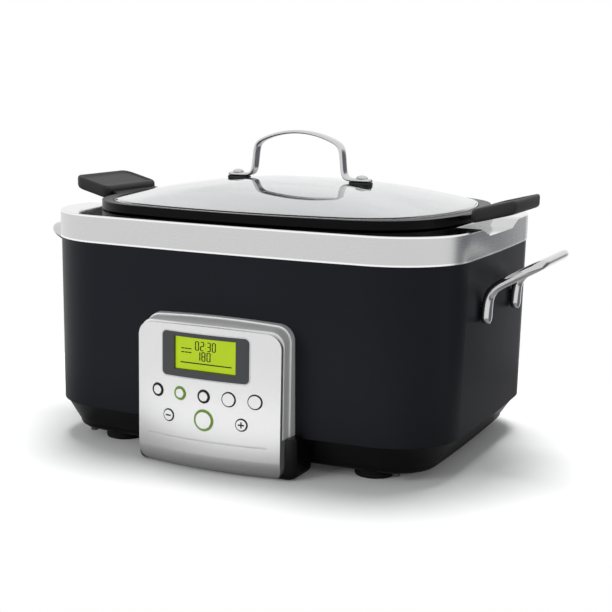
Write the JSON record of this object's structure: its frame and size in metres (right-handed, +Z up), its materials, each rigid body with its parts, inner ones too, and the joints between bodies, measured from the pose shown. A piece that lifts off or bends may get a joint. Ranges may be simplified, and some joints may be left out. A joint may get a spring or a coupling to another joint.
{
  "type": "slow cooker",
  "caption": "Oblong slow cooker with a lift-out pot on a heated plate, glass lid with strap handle, looped side handles and a bowed button panel.",
  "frame": {"origin": "on the table plane under the middle of the housing", "axes": "+X along the length to the right, -Y towards the control panel, +Z up"},
  "size_m": [0.43, 0.2882, 0.2451],
  "materials": {
    "wrap_paint": "satin",
    "rim_steel": "brushed",
    "polished_steel": "polished",
    "well_metal": "satin",
    "pot_metal": "gloss",
    "black_plastic": "satin",
    "silver_plastic": "satin",
    "surround_metal": "brushed",
    "grey_plastic": "satin",
    "soft_grip": "matte",
    "foot_rubber": "matte",
    "clear_glass": "polished",
    "display": "gloss",
    "lit_ring": "gloss",
    "circuit_board": "matte",
    "blanket": "matte",
    "zinc_steel": "plated"
  },
  "bodies": {
    "housing": {"base_tray": "black_plastic", "foot_front_left": "foot_rubber", "foot_front_right": "foot_rubber", "foot_rear_left": "foot_rubber", "foot_rear_right": "foot_rubber", "tie_rods": "zinc_steel", "base_screws": "zinc_steel", "cord_gland": "black_plastic", "outer_wrap": "wrap_paint", "top_rim": "rim_steel", "heating_well": "well_metal", "heating_plate": "well_metal", "heating_element": "zinc_steel", "plate_standoffs": "zinc_steel", "sensor_spring": "zinc_steel", "insulation_blanket": "blanket", "heat_shield": "well_metal", "thermal_fuse": "zinc_steel", "power_board": "circuit_board", "power_relay": "black_plastic", "side_handle_left": "polished_steel", "side_handle_right": "polished_steel", "handle_plate_left": "zinc_steel", "handle_plate_right": "zinc_steel", "handle_screws": "zinc_steel", "panel_toe": "black_plastic", "panel_surround": "surround_metal", "panel_face": "silver_plastic", "panel_screws": "zinc_steel", "lcd_bezel": "grey_plastic", "lcd_window": "display", "lcd_module": "grey_plastic", "control_board": "circuit_board", "button_rings": "grey_plastic", "light_rings": "lit_ring", "button_switches": "black_plastic"},
    "sensor": {"temperature_sensor": "well_metal"},
    "button_1": {"button_1": "silver_plastic"},
    "button_2": {"button_2": "silver_plastic"},
    "button_3": {"button_3": "silver_plastic"},
    "button_4": {"button_4": "silver_plastic"},
    "button_5": {"button_5": "silver_plastic"},
    "button_start": {"button_start": "silver_plastic"},
    "button_minus": {"button_minus": "silver_plastic"},
    "button_plus": {"button_plus": "silver_plastic"},
    "pot": {"cooking_pot": "pot_metal", "grip_left": "soft_grip", "grip_right": "soft_grip"},
    "lid": {"lid_glass": "clear_glass", "lid_rim": "polished_steel", "lid_handle": "polished_steel", "lid_washers": "soft_grip", "lid_screws": "polished_steel", "lid_nuts": "polished_steel"}
  },
  "joints": [
    {"name": "pot_lift", "type": "slide", "parent": "housing", "child": "pot", "axis": [0, 0, 1], "range_m": [0, 0.16]},
    {"name": "lid_lift", "type": "slide", "parent": "pot", "child": "lid", "axis": [0, 0, 1], "range_m": [0, 0.08]},
    {"name": "sensor_press", "type": "slide", "parent": "housing", "child": "sensor", "axis": [0, 0, -1], "range_m": [0, 0.0015], "stiffness_N_per_m": 1000, "springref_m": -0.002, "deforming": ["sensor_spring"]},
    {"name": "button_1_press", "type": "slide", "parent": "housing", "child": "button_1", "axis": [0, 1, 0], "range_m": [0, 0.0008], "stiffness_N_per_m": 1500},
    {"name": "button_2_press", "type": "slide", "parent": "housing", "child": "button_2", "axis": [0, 1, 0], "range_m": [0, 0.0008], "stiffness_N_per_m": 1500},
    {"name": "button_3_press", "type": "slide", "parent": "housing", "child": "button_3", "axis": [0, 1, 0], "range_m": [0, 0.0008], "stiffness_N_per_m": 1500},
    {"name": "button_4_press", "type": "slide", "parent": "housing", "child": "button_4", "axis": [0, 1, 0], "range_m": [0, 0.0008], "stiffness_N_per_m": 1500},
    {"name": "button_5_press", "type": "slide", "parent": "housing", "child": "button_5", "axis": [0, 1, 0], "range_m": [0, 0.0008], "stiffness_N_per_m": 1500},
    {"name": "button_start_press", "type": "slide", "parent": "housing", "child": "button_start", "axis": [0, 1, 0], "range_m": [0, 0.0008], "stiffness_N_per_m": 1500},
    {"name": "button_minus_press", "type": "slide", "parent": "housing", "child": "button_minus", "axis": [0, 1, 0], "range_m": [0, 0.0008], "stiffness_N_per_m": 1500},
    {"name": "button_plus_press", "type": "slide", "parent": "housing", "child": "button_plus", "axis": [0, 1, 0], "range_m": [0, 0.0008], "stiffness_N_per_m": 1500}
  ]
}
